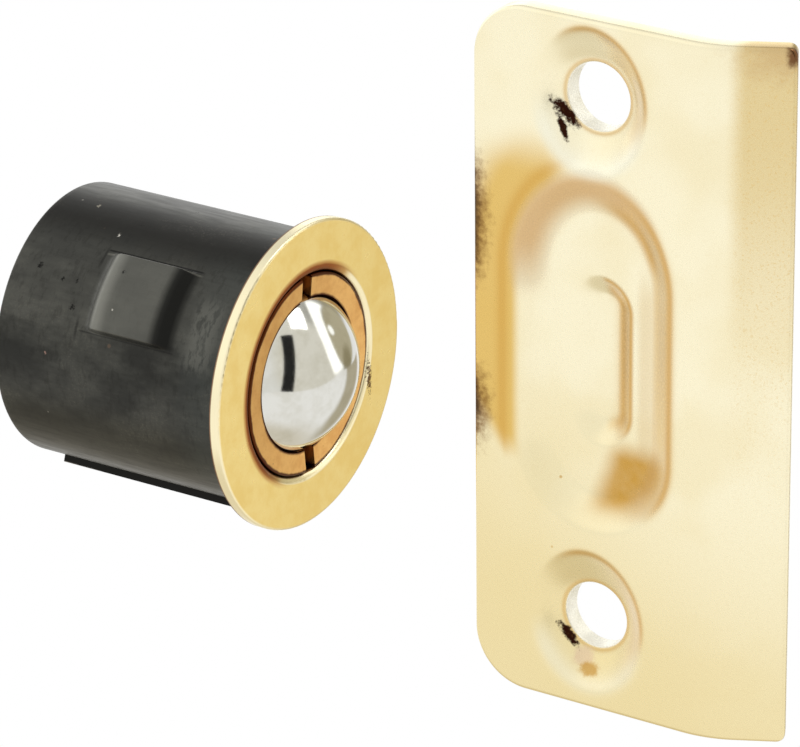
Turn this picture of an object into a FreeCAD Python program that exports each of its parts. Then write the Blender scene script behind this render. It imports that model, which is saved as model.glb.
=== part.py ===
import FreeCAD, Part
import math
import os

# A drive-in ball catch and its full-lip strike plate, in millimetres, +Z up.
# The origin is on the barrel's axis, in the plane where the flange seats on the door's edge.
# The barrel runs back along -X, the ball looks along +X, and the strike's show face looks along -Y.

# Barrel shell: rolled steel sheet with a standing seam and two lanced bridges that bite in the bore
shell_radius = 11.4
shell_wall = 0.8
shell_length = 22.5
shell_end_round = 0.3
seam_slit = 0.16
rib_height = 0.85
rib_width = 1.1
rib_edge_round = 0.33
rib_rear_gap = 2.0
bridge_rear = 14.1
bridge_front = 5.0
bridge_arc = 36.0
bridge_rise = 0.75
rear_ramp = 1.6
front_ramp = 2.3
lance_slit = 0.14
bridge_angle = 104.0
barrel_turn = 26.0

# Face bushing: turned brass with the show flange, threaded inside for the adjuster
flange_radius = 13.0
flange_thickness = 0.9
flange_edge_round = 0.22
bushing_length = 11.5
bushing_wall = 2.0
mouth_round = 0.5

# Adjuster sleeve: screws in the bushing, carries the ball in its rolled mouth
thread_clearance = 0.08
sleeve_wall = 0.96
face_setback = 0.12
sleeve_edge_round = 0.2
mouth_lip = 0.96
mouth_fall = 0.14
mouth_land = 0.2
slot_width = 1.3
slot_depth = 0.95
curl_length = 0.7
curl_reach = 0.95

# Ball, its cup, the spring and the plug that closes the sleeve
ball_gap = 0.06
cup_gap = 0.03
cup_wall = 0.5
cup_width = 3.91
cup_side_gap = 0.25
wire_radius = 0.45
spring_inset = 2.01
spring_turns = 3.5
spring_gap = 0.02
plug_thickness = 1.3
plug_place = 17.4

# Strike plate: stamped brass-plated sheet with a formed lip
strike_left = 22.2
strike_face = -8.6
strike_bottom = -18.0
strike_height = 57.15
strike_thickness = 1.4
strike_flat = 19.0
lip_bend_radius = 9.0
lip_bend_angle = 27.0
lip_run = 4.0
corner_radius = 4.6
lip_corner_radius = 0.7
face_edge_round = 0.35
screw_spacing = 43.2
screw_inset = 10.6
feature_rise = 0.45
screw_hole_radius = 2.8
dimple_radius = 5.6
dimple_depth = 1.4
dimple_floor = 0.35
dish_half_width = 7.2
dish_half_height = 14.0
dish_depth = 1.5
dish_wall_run = 2.9
pocket_half_width = 2.4
pocket_half_height = 6.9
pocket_depth = 1.1
pocket_wall_run = 0.75

# How far a cutting shape runs past what it cuts, and how near two places are to count as one
cut_margin = 1.0
same_place = 0.001

# What follows from the sizes above
shell_bore = shell_radius - shell_wall
thread_radius = shell_bore - bushing_wall
sleeve_radius = thread_radius - thread_clearance
sleeve_bore = sleeve_radius - sleeve_wall
ball_radius = sleeve_bore - ball_gap
mouth_radius = sleeve_bore - mouth_lip
sleeve_face = flange_thickness - face_setback
seat_reach = math.sqrt(sleeve_bore ** 2 - mouth_radius ** 2)
mouth_face = sleeve_face - mouth_fall
ball_centre = mouth_face - mouth_land - seat_reach
plug_front = -plug_place
plug_back = plug_front - plug_thickness
sleeve_back = plug_back - curl_length
cup_radius = sleeve_bore - cup_side_gap
cup_hole_radius = cup_radius - cup_width
spring_radius = cup_radius - spring_inset


def vector(x, y, z):
    return FreeCAD.Vector(x, y, z)


def flat_point(point):
    """A point of a turned profile: distance along the axis, then radius."""
    return vector(point[0], 0, point[1])


def line(start, end):
    return Part.LineSegment(flat_point(start), flat_point(end)).toShape()


def arc(start, middle, end):
    return Part.Arc(flat_point(start), flat_point(middle), flat_point(end)).toShape()


def corner_arc(start, corner, end):
    """A quarter round from start to end about the inner corner of the square they span."""
    centre = (start[0] + end[0] - corner[0], start[1] + end[1] - corner[1])
    radius = math.hypot(start[0] - centre[0], start[1] - centre[1])
    reach = math.hypot(corner[0] - centre[0], corner[1] - centre[1])
    middle = (
        centre[0] + (corner[0] - centre[0]) * radius / reach,
        centre[1] + (corner[1] - centre[1]) * radius / reach,
    )
    return arc(start, middle, end)


def turned(edges, sweep=360.0):
    """A solid turned about the barrel's axis from a closed profile."""
    face = Part.Face(Part.Wire(edges))
    return face.revolve(vector(0, 0, 0), vector(1, 0, 0), sweep)


def barrel_shell():
    """Rolled tube, open at the back, with its seam and rib below before it is turned to its place."""
    back = -shell_length
    tube = turned([
        line((0, shell_bore), (0, shell_radius)),
        line((0, shell_radius), (back + shell_end_round, shell_radius)),
        corner_arc(
            (back + shell_end_round, shell_radius),
            (back, shell_radius),
            (back, shell_radius - shell_end_round),
        ),
        line((back, shell_radius - shell_end_round), (back, shell_bore)),
        line((back, shell_bore), (0, shell_bore)),
    ])
    for side in (-1, 1):
        turn = side * bridge_angle
        tube = tube.cut(lance_window(turn))
        tube = tube.fuse(lanced_bridge(turn))
    tube = tube.fuse(seam_rib())
    slit = Part.makeBox(
        shell_length + 2 * cut_margin, seam_slit, 2 * shell_wall,
        vector(back - cut_margin, -seam_slit / 2, -shell_radius - shell_wall / 2),
    )
    tube = tube.cut(slit).removeSplitter()
    tube.rotate(vector(0, 0, 0), vector(1, 0, 0), -barrel_turn)
    return tube


def set_by_angle(shape, arc_degrees, turn):
    """Centre a sector that starts at +Z on the seam's side, then turn it about the axis."""
    shape.rotate(vector(0, 0, 0), vector(1, 0, 0), 180 - arc_degrees / 2 + turn)
    return shape


def lance_window(turn):
    """The gap that the bridge was cut from, two slits wider than the bridge."""
    slit_angle = math.degrees(lance_slit / shell_radius)
    sweep = bridge_arc + 2 * slit_angle
    inner = shell_bore - cut_margin
    outer = shell_radius + cut_margin
    window = turned([
        line((-bridge_front, inner), (-bridge_front, outer)),
        line((-bridge_front, outer), (-bridge_rear, outer)),
        line((-bridge_rear, outer), (-bridge_rear, inner)),
        line((-bridge_rear, inner), (-bridge_front, inner)),
    ], sweep)
    return set_by_angle(window, sweep, turn)


def ramp_edges(foot, top, foot_radius, rise):
    """An S-shaped rise from the wall to the bridge, as two equal arcs."""
    run = abs(top - foot)
    way = 1 if top > foot else -1
    angle = 2 * math.atan(rise / run)
    bend = run / (2 * math.sin(angle))
    side = bend * math.sin(angle / 2)
    drop = bend * (1 - math.cos(angle / 2))
    half = ((foot + top) / 2, foot_radius + rise / 2)
    first = arc((foot, foot_radius), (foot + way * side, foot_radius + drop), half)
    second = arc(half, (top - way * side, foot_radius + rise - drop), (top, foot_radius + rise))
    return [first, second]


def lanced_bridge(turn):
    """The strip between the slits, pressed outward with a long ramp in front and a short one behind."""
    rear = -bridge_rear
    front = -bridge_front
    rear_top = rear + rear_ramp
    front_top = front - front_ramp
    edges = ramp_edges(rear, rear_top, shell_radius, bridge_rise)
    edges.append(line((rear_top, shell_radius + bridge_rise), (front_top, shell_radius + bridge_rise)))
    edges.extend(ramp_edges(front, front_top, shell_radius, bridge_rise)[::-1])
    edges.append(line((front, shell_radius), (front, shell_bore)))
    edges.extend(ramp_edges(front, front_top, shell_bore, bridge_rise))
    edges.append(line((front_top, shell_bore + bridge_rise), (rear_top, shell_bore + bridge_rise)))
    edges.extend(ramp_edges(rear, rear_top, shell_bore, bridge_rise)[::-1])
    edges.append(line((rear, shell_bore), (rear, shell_radius)))
    bridge = turned(edges, bridge_arc)
    return set_by_angle(bridge, bridge_arc, turn)


def seam_rib():
    """The sheet's turned-out edge beside the seam, from near the back to the flange."""
    length = shell_length - rib_rear_gap
    depth = rib_height + shell_wall / 2
    rib = Part.makeBox(
        length, rib_width, depth, vector(-length, seam_slit / 2, -shell_radius - rib_height)
    )
    crest = [edge for edge in rib.Edges if edge.BoundBox.ZMax < -shell_radius - rib_height + same_place]
    outer = [edge for edge in crest if edge.Length > length / 2]
    return rib.makeFillet(rib_edge_round, outer)


def face_bushing():
    """Flange and threaded bush in one, its mouth rounded and its flange seated at x = 0."""
    front = flange_thickness
    inner_edge = thread_radius + mouth_round
    rim_start = (front - flange_edge_round, flange_radius)
    rim_end = (front, flange_radius - flange_edge_round)
    mouth_start = (front, inner_edge)
    mouth_end = (front - mouth_round, thread_radius)
    return turned([
        line((0, shell_bore), (0, flange_radius)),
        line((0, flange_radius), rim_start),
        corner_arc(rim_start, (front, flange_radius), rim_end),
        line(rim_end, mouth_start),
        corner_arc(mouth_start, (front, thread_radius), mouth_end),
        line(mouth_end, (-bushing_length, thread_radius)),
        line((-bushing_length, thread_radius), (-bushing_length, shell_bore)),
        line((-bushing_length, shell_bore), (0, shell_bore)),
    ])


def adjuster_sleeve():
    """Threaded sleeve with a rolled mouth that holds the ball, and a curl behind the plug."""
    seat_angle = math.acos(mouth_radius / sleeve_bore) / 2
    seat_middle = (
        ball_centre + sleeve_bore * math.sin(seat_angle),
        sleeve_bore * math.cos(seat_angle),
    )
    seat_edge = (ball_centre + seat_reach, mouth_radius)
    curl_radius = sleeve_bore - curl_reach
    face_start = (sleeve_face - sleeve_edge_round, sleeve_radius)
    face_end = (sleeve_face, sleeve_radius - sleeve_edge_round)
    sleeve = turned([
        line(seat_edge, (mouth_face, mouth_radius)),
        line((mouth_face, mouth_radius), face_end),
        corner_arc(face_start, (sleeve_face, sleeve_radius), face_end),
        line(face_start, (sleeve_back, sleeve_radius)),
        line((sleeve_back, sleeve_radius), (sleeve_back, curl_radius)),
        line((sleeve_back, curl_radius), (plug_back, curl_radius)),
        line((plug_back, curl_radius), (plug_back, sleeve_bore)),
        line((plug_back, sleeve_bore), (ball_centre, sleeve_bore)),
        arc((ball_centre, sleeve_bore), seat_middle, seat_edge),
    ])
    slot = Part.makeBox(
        slot_depth + cut_margin, slot_width, 2 * flange_radius,
        vector(sleeve_face - slot_depth, -slot_width / 2, -flange_radius),
    )
    middle = Part.makeCylinder(
        mouth_radius - mouth_land, flange_radius, vector(sleeve_face - flange_radius, 0, 0), vector(1, 0, 0)
    )
    return sleeve.cut(slot.cut(middle))


def steel_ball():
    ball = Part.makeSphere(ball_radius)
    ball.rotate(vector(0, 0, 0), vector(0, 1, 0), 90)
    ball.translate(vector(ball_centre, 0, 0))
    return ball


def cone_place(radius, offset):
    """Axial place on a 45 degree cone that lies offset outside the ball."""
    return ball_centre + radius - math.sqrt(2) * (ball_radius + offset)


def spring_cup():
    """Pressed conical cup that centres the ball on the spring."""
    outer_gap = cup_gap + cup_wall
    corners = [
        (cone_place(cup_hole_radius, cup_gap), cup_hole_radius),
        (cone_place(cup_radius, cup_gap), cup_radius),
        (cone_place(cup_radius, outer_gap), cup_radius),
        (cone_place(cup_hole_radius, outer_gap), cup_hole_radius),
    ]
    return turned([line(corners[i], corners[(i + 1) % 4]) for i in range(4)])


def compression_spring():
    """Helix from the plug to the cup, ground flat where it stands on the plug."""
    front = cone_place(spring_radius, cup_gap + cup_wall + wire_radius + spring_gap)
    start = plug_front + wire_radius / 2
    length = front - start
    helix = Part.makeHelix(length / spring_turns, length, spring_radius)
    section = Part.Wire(Part.makeCircle(wire_radius, vector(spring_radius, 0, 0), vector(0, 1, 0)))
    wire = Part.Wire(helix)
    spring = wire.makePipeShell([section], True, True)
    spring.rotate(vector(0, 0, 0), vector(0, 1, 0), 90)
    spring.translate(vector(start, 0, 0))
    ground = Part.makeBox(
        4 * wire_radius, 4 * spring_radius, 4 * spring_radius,
        vector(plug_front - 4 * wire_radius, -2 * spring_radius, -2 * spring_radius),
    )
    return Part.Solid(spring.cut(ground).Solids[0])


def rear_plug():
    """Disc pressed in the sleeve's back and held by the curl."""
    return Part.makeCylinder(sleeve_bore, plug_thickness, vector(plug_back, 0, 0), vector(1, 0, 0))


def strike_profile(inset):
    """Points of the strike's section: flat, bend and lip, at a depth below the show face."""
    angle = math.radians(lip_bend_angle)
    radius = lip_bend_radius - inset
    flat_end = (strike_flat, inset)
    middle = (
        strike_flat + radius * math.sin(angle / 2),
        lip_bend_radius - radius * math.cos(angle / 2),
    )
    bend_end = (
        strike_flat + radius * math.sin(angle),
        lip_bend_radius - radius * math.cos(angle),
    )
    tip = (
        bend_end[0] + lip_run * math.cos(angle),
        bend_end[1] + lip_run * math.sin(angle),
    )
    return (0, inset), flat_end, middle, bend_end, tip


def strike_point(point, height=0.0):
    return vector(strike_left + point[0], strike_face + point[1], strike_bottom + height)


def strike_sheet():
    """The bent sheet with its rounded corners and softened show edge."""
    start, flat_end, middle, bend_end, tip = strike_profile(0.0)
    back_start, back_flat, back_middle, back_bend, back_tip = strike_profile(strike_thickness)
    edges = [
        Part.LineSegment(strike_point(start), strike_point(flat_end)).toShape(),
        Part.Arc(strike_point(flat_end), strike_point(middle), strike_point(bend_end)).toShape(),
        Part.LineSegment(strike_point(bend_end), strike_point(tip)).toShape(),
        Part.LineSegment(strike_point(tip), strike_point(back_tip)).toShape(),
        Part.LineSegment(strike_point(back_tip), strike_point(back_bend)).toShape(),
        Part.Arc(strike_point(back_bend), strike_point(back_middle), strike_point(back_flat)).toShape(),
        Part.LineSegment(strike_point(back_flat), strike_point(back_start)).toShape(),
        Part.LineSegment(strike_point(back_start), strike_point(start)).toShape(),
    ]
    sheet = Part.Face(Part.Wire(edges)).extrude(vector(0, 0, strike_height))
    plain_corners = [edge for edge in sheet.Edges if is_corner(edge, start, back_start)]
    sheet = sheet.makeFillet(corner_radius, plain_corners)
    lip_corners = [edge for edge in sheet.Edges if is_corner(edge, tip, back_tip)]
    sheet = sheet.makeFillet(lip_corner_radius, lip_corners)
    show_edges = [edge for edge in sheet.Edges if on_show_border(edge)]
    return sheet.makeFillet(face_edge_round, show_edges)


def is_corner(edge, front_point, back_point):
    """True for the short edge through the sheet at one end of the section, top or bottom."""
    ends = [vertex.Point for vertex in edge.Vertexes]
    for height in (0.0, strike_height):
        wanted = (strike_point(front_point, height), strike_point(back_point, height))
        found = [any(end.distanceToPoint(target) < same_place for end in ends) for target in wanted]
        if len(ends) == 2 and all(found):
            return True
    return False


def on_show_border(edge):
    """True for edges round the outline of the show face, which follow the bend."""
    for vertex in edge.Vertexes:
        if abs(show_depth(vertex.Point)) > same_place:
            return False
    across = [vertex.Point.z for vertex in edge.Vertexes]
    upright = abs(across[0] - across[-1]) > strike_height / 2
    if upright:
        x = edge.Vertexes[0].Point.x - strike_left
        return x < same_place or x > strike_profile(0.0)[4][0] - same_place
    return True


def show_depth(point):
    """Distance of a point behind the show face."""
    x = point.x - strike_left
    y = point.y - strike_face
    if x <= strike_flat:
        return y
    angle = math.radians(lip_bend_angle)
    across = x - strike_flat
    drop = lip_bend_radius - y
    if math.atan2(across, drop) <= angle:
        return lip_bend_radius - math.hypot(across, drop)
    end_x, end_y = strike_profile(0.0)[3]
    return (y - end_y) * math.cos(angle) - (x - end_x) * math.sin(angle)


def wall_curve(rim, run, top, depth):
    """Half section of a pressed wall from the rim down to the floor, as two equal arcs."""
    angle = 2 * math.atan(depth / run)
    bend = run / (2 * math.sin(angle))
    side = bend * math.sin(angle / 2)
    drop = bend * (1 - math.cos(angle / 2))
    half = (rim - run / 2, top + depth / 2)
    return [
        (rim, top), (rim - side, top + drop), half,
        (rim - run + side, top + depth - drop), (rim - run, top + depth),
    ]


def pressed_form(rim, run, top, depth, cover, half_length, height):
    """A round or obround form with a curved wall, centred on the screw line at a height."""
    points = wall_curve(rim, run, top, depth)
    centre_x = strike_left + screw_inset

    def place(radius, level):
        return vector(centre_x + radius, strike_face + level, height)

    def half_section(side):
        spots = [place(side * radius, level) for radius, level in points]
        return [
            Part.Arc(spots[0], spots[1], spots[2]).toShape(),
            Part.Arc(spots[2], spots[3], spots[4]).toShape(),
        ]

    right = half_section(1)
    floor = top + depth
    axis_floor = place(0, floor)
    axis_cover = place(0, cover)
    turned_edges = [
        Part.LineSegment(axis_cover, place(rim, cover)).toShape(),
        Part.LineSegment(place(rim, cover), place(rim, top)).toShape(),
        *right,
        Part.LineSegment(place(rim - run, floor), axis_floor).toShape(),
        Part.LineSegment(axis_floor, axis_cover).toShape(),
    ]
    end = Part.Face(Part.Wire(turned_edges)).revolve(axis_floor, vector(0, 1, 0), 360)
    if half_length <= 0:
        return end
    full_edges = [
        Part.LineSegment(place(-rim, cover), place(rim, cover)).toShape(),
        Part.LineSegment(place(rim, cover), place(rim, top)).toShape(),
        *right,
        Part.LineSegment(place(rim - run, floor), place(run - rim, floor)).toShape(),
        *half_section(-1)[::-1],
        Part.LineSegment(place(-rim, top), place(-rim, cover)).toShape(),
    ]
    bar = Part.Face(Part.Wire(full_edges)).extrude(vector(0, 0, 2 * half_length))
    bar.translate(vector(0, 0, -half_length))
    upper = end.copy()
    upper.translate(vector(0, 0, half_length))
    lower = end.copy()
    lower.translate(vector(0, 0, -half_length))
    return bar.fuse([upper, lower])


def pressing(sheet, rim, run, top, depth, half_length, height):
    """Press one form into the sheet: a boss behind, a hollow in front, the same thickness between."""
    shift = strike_thickness * depth / run
    behind = pressed_form(
        rim + shift, run, top + strike_thickness, depth, strike_thickness / 2 + top, half_length, height
    )
    hollow = pressed_form(rim, run, top, depth, top - cut_margin, half_length, height)
    return sheet.fuse(behind), hollow


def strike_plate():
    """Stamped strike: two dimpled screw holes, the ball's dish with its deeper pocket, and the lip."""
    sheet = strike_sheet()
    middle = strike_bottom + strike_height / 2 + feature_rise
    hollows = []
    for side in (-1, 1):
        height = middle + side * screw_spacing / 2
        run = dimple_radius - screw_hole_radius - dimple_floor
        sheet, hollow = pressing(sheet, dimple_radius, run, 0.0, dimple_depth, 0.0, height)
        hollows.append(hollow)
        hollows.append(screw_hole(height))
    dish_half_line = dish_half_height - dish_half_width
    sheet, hollow = pressing(sheet, dish_half_width, dish_wall_run, 0.0, dish_depth, dish_half_line, middle)
    hollows.append(hollow)
    pocket_half_line = pocket_half_height - pocket_half_width
    sheet, hollow = pressing(
        sheet, pocket_half_width, pocket_wall_run, dish_depth, pocket_depth, pocket_half_line, middle
    )
    hollows.append(hollow)
    for hollow in hollows:
        sheet = sheet.cut(hollow)
    return sheet.removeSplitter()


def screw_hole(height):
    depth = strike_thickness + dimple_depth
    start = vector(strike_left + screw_inset, strike_face - cut_margin, height)
    return Part.makeCylinder(screw_hole_radius, depth + 2 * cut_margin, start, vector(0, 1, 0))


def main():
    os.makedirs("parts", exist_ok=True)
    pieces = {
        "barrel_shell": barrel_shell(),
        "face_bushing": face_bushing(),
        "adjuster_sleeve": adjuster_sleeve(),
        "steel_ball": steel_ball(),
        "spring_cup": spring_cup(),
        "compression_spring": compression_spring(),
        "rear_plug": rear_plug(),
        "strike_plate": strike_plate(),
    }
    for name, shape in pieces.items():
        solids = shape.Solids
        print(name, "solids", len(solids), "valid", shape.isValid(), "volume", round(shape.Volume, 2))
        shape.exportStep(os.path.join("parts", name + ".step"))


main()
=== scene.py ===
# Looks of a drive-in ball catch: black barrel, brass flange, copper-toned sleeve, steel ball, gold strike
import math
import bpy
from mathutils import Matrix, Vector
from mathutils.geometry import delaunay_2d_cdt


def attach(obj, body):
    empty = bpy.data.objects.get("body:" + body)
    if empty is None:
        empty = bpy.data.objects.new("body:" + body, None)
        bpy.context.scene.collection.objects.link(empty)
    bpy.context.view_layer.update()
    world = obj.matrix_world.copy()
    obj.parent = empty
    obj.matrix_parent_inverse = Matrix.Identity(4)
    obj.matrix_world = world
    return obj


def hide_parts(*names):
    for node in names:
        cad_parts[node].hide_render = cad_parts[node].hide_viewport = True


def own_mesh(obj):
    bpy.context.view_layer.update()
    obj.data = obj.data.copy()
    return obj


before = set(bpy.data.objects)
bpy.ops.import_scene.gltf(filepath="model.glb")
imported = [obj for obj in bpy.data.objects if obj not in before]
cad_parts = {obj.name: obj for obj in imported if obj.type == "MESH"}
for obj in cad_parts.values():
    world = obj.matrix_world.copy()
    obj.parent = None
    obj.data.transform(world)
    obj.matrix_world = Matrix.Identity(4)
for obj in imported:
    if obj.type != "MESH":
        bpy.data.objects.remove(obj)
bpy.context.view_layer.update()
mm = 0.001
print("frame loaded:", len(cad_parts), "nodes")


# Camera: a long lens, looking down on the pair from the ball's side
lens = {
    "azimuth": 33.5,        # degrees, from straight on to the strike's show face
    "elevation": 23.3,
    "roll": -0.56,
    "focalPixels": 5750.0,  # in a picture 800 pixels wide
    "distance": 466.68,     # mm from the flange's face to the lens
    "shiftRight": 7.287,    # mm that the lens stands off the flange's centre
    "shiftUp": 0.1,
    "flangeFace": 0.9,
}


def makeCamera(v):
    az, el, roll = (math.radians(v[key]) for key in ("azimuth", "elevation", "roll"))
    back = Vector((math.sin(az) * math.cos(el), -math.cos(az) * math.cos(el), math.sin(el)))
    flatRight = Vector((math.cos(az), math.sin(az), 0))
    flatUp = back.cross(flatRight)
    right = flatRight * math.cos(roll) + flatUp * math.sin(roll)
    up = flatUp * math.cos(roll) - flatRight * math.sin(roll)
    place = right * v["shiftRight"] + up * v["shiftUp"] + back * v["distance"]
    place.x += v["flangeFace"]
    data = bpy.data.cameras.new("catchCamera")
    data.sensor_width = 36
    data.lens = v["focalPixels"] / 800 * data.sensor_width
    data.clip_start = 0.01
    camera = bpy.data.objects.new("catchCamera", data)
    camera.matrix_world = Matrix((
        (right.x, up.x, back.x, place.x * mm),
        (right.y, up.y, back.y, place.y * mm),
        (right.z, up.z, back.z, place.z * mm),
        (0, 0, 0, 1),
    ))
    bpy.context.scene.collection.objects.link(camera)
    bpy.context.scene.camera = camera


makeCamera(lens)
bpy.context.scene.view_settings.view_transform = "Standard"
print("camera placed")


# A colour as it shows on a screen, 0 to 255, as the shader wants it
def tone(red, green, blue):
    values = []
    for part in (red, green, blue):
        part /= 255
        values.append(part / 12.92 if part <= 0.04045 else ((part + 0.055) / 1.055) ** 2.4)
    return (*values, 1.0)


# Short ways to add the nodes that the materials share; sockets and plain values mix freely
class Tree:
    def __init__(self, tree):
        self.tree = tree
        self.place = 0

    def add(self, kind, **settings):
        node = self.tree.nodes.new(kind)
        node.location = (self.place * 170 % 3400, -(self.place // 20) * 260)
        self.place += 1
        for key, value in settings.items():
            setattr(node, key, value)
        return node

    def put(self, socket, value):
        if isinstance(value, bpy.types.NodeSocket):
            self.tree.links.new(value, socket)
        else:
            socket.default_value = value

    def sum(self, operation, *values, clamp=False):
        node = self.add("ShaderNodeMath", operation=operation, use_clamp=clamp)
        for socket, value in zip(node.inputs, values):
            self.put(socket, value)
        return node.outputs[0]

    # 0 below low and 1 above high, smooth between; low may be the larger
    def step(self, value, low, high):
        node = self.add("ShaderNodeMapRange", interpolation_type="SMOOTHSTEP")
        flip = low > high
        self.put(node.inputs["Value"], value)
        node.inputs["From Min"].default_value = min(low, high)
        node.inputs["From Max"].default_value = max(low, high)
        node.inputs["To Min"].default_value = 1.0 if flip else 0.0
        node.inputs["To Max"].default_value = 0.0 if flip else 1.0
        return node.outputs["Result"]

    # Rises from start to full, and falls again from ending to end
    def within(self, value, start, full, ending, end):
        return self.sum("MULTIPLY", self.step(value, start, full), self.step(value, end, ending))

    # Length of a flat vector
    def reach(self, first, second):
        square = self.sum("MULTIPLY_ADD", first, first, self.sum("MULTIPLY", second, second))
        return self.sum("SQRT", square)

    def mix(self, factor, first, second):
        node = self.add("ShaderNodeMix", data_type="RGBA")
        self.put(node.inputs["Factor"], factor)
        self.put(node.inputs[6], first)
        self.put(node.inputs[7], second)
        return node.outputs[2]

    # A shade laid over the colour so far
    def lay(self, colour, shade, where, strength):
        return self.mix(self.sum("MULTIPLY", where, strength), colour, shade)

    def dot(self, vector, other):
        node = self.add("ShaderNodeVectorMath", operation="DOT_PRODUCT")
        self.put(node.inputs[0], vector)
        self.put(node.inputs[1], other)
        return node.outputs["Value"]

    def stretched(self, vector, scale, offset=(0, 0, 0)):
        node = self.add("ShaderNodeMapping")
        self.put(node.inputs["Vector"], vector)
        node.inputs["Scale"].default_value = scale
        node.inputs["Location"].default_value = offset
        return node.outputs[0]

    def noise(self, vector, scale, detail=3.0, rough=0.5):
        node = self.add("ShaderNodeTexNoise")
        self.put(node.inputs["Vector"], vector)
        node.inputs["Scale"].default_value = scale
        node.inputs["Detail"].default_value = detail
        node.inputs["Roughness"].default_value = rough
        return node.outputs["Fac"]

    # Small round marks: 1 in a mark; chance is the share of cells that have one
    def specks(self, vector, scale, size, chance):
        cells = self.add("ShaderNodeTexVoronoi")
        self.put(cells.inputs["Vector"], vector)
        cells.inputs["Scale"].default_value = scale
        near = self.step(cells.outputs["Distance"], size, size * 0.45)
        split = self.add("ShaderNodeSeparateColor")
        self.put(split.inputs[0], cells.outputs["Color"])
        chosen = self.sum("LESS_THAN", split.outputs[0], chance)
        return self.sum("MULTIPLY", near, chosen)

    # 1 inside an ellipsoid about centre, fading at its ragged edge; a half of 0 leaves that axis out
    def spot(self, vector, centre, half, edge, ragged):
        scale = tuple(1 / h if h else 0 for h in half)
        offset = tuple(-c * s for c, s in zip(centre, scale))
        node = self.add("ShaderNodeVectorMath", operation="LENGTH")
        self.put(node.inputs[0], self.stretched(vector, scale, offset))
        reach = self.sum("ADD", node.outputs["Value"], ragged)
        return self.step(reach, 1 + edge, 1 - edge)


def newMaterial(name):
    material = bpy.data.materials.new(name)
    material.use_nodes = True
    tree = Tree(material.node_tree)
    shader = material.node_tree.nodes["Principled BSDF"]
    coords = tree.add("ShaderNodeTexCoord").outputs["Object"]
    inMm = tree.add("ShaderNodeVectorMath", operation="SCALE")
    tree.put(inMm.inputs[0], coords)
    inMm.inputs["Scale"].default_value = 1000
    return material, tree, shader, inMm.outputs[0]


def bump(tree, shader, height, strength, distance):
    node = tree.add("ShaderNodeBump")
    node.inputs["Strength"].default_value = strength
    node.inputs["Distance"].default_value = distance * mm
    tree.put(node.inputs["Height"], height)
    tree.put(shader.inputs["Normal"], node.outputs[0])


# A value that was laid on the mesh's points
def painted(tree, name):
    node = tree.add("ShaderNodeAttribute", attribute_name=name)
    return node.outputs["Fac"]


def splitXyz(tree, vector):
    node = tree.add("ShaderNodeSeparateXYZ")
    tree.put(node.inputs[0], vector)
    return node.outputs


# Blackened steel of the barrel; its marks lie so far along the barrel and round it, in mm
black = {
    "dark": tone(43, 43, 40),
    "light": tone(70, 70, 65),
    "warm": tone(44, 42, 30),
    "blue": tone(62, 65, 62),
    "shine": tone(104, 104, 98),
    "sootAndShade": tone(22, 20, 15),
    "scratch": tone(14, 13, 12),
    "metallic": 0.75,
    "roughness": 0.33,
    "specks": [
        # along, round, size, shade
        (-19.96, 8.78, 0.2, tone(16, 15, 12)),
        (-17.33, 8.1, 0.13, tone(16, 15, 12)),
        (-15.98, 8.22, 0.12, tone(18, 17, 14)),
        (-15.6, 6.1, 0.2, tone(24, 23, 20)),
        (-14.59, 13.25, 0.12, tone(214, 210, 200)),
        (-18.54, 16.08, 0.14, tone(140, 134, 120)),
        (-11.3, 6.56, 0.07, tone(190, 188, 178)),
        (-17.44, 1.84, 0.09, tone(150, 120, 108)),
    ],
}


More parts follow.
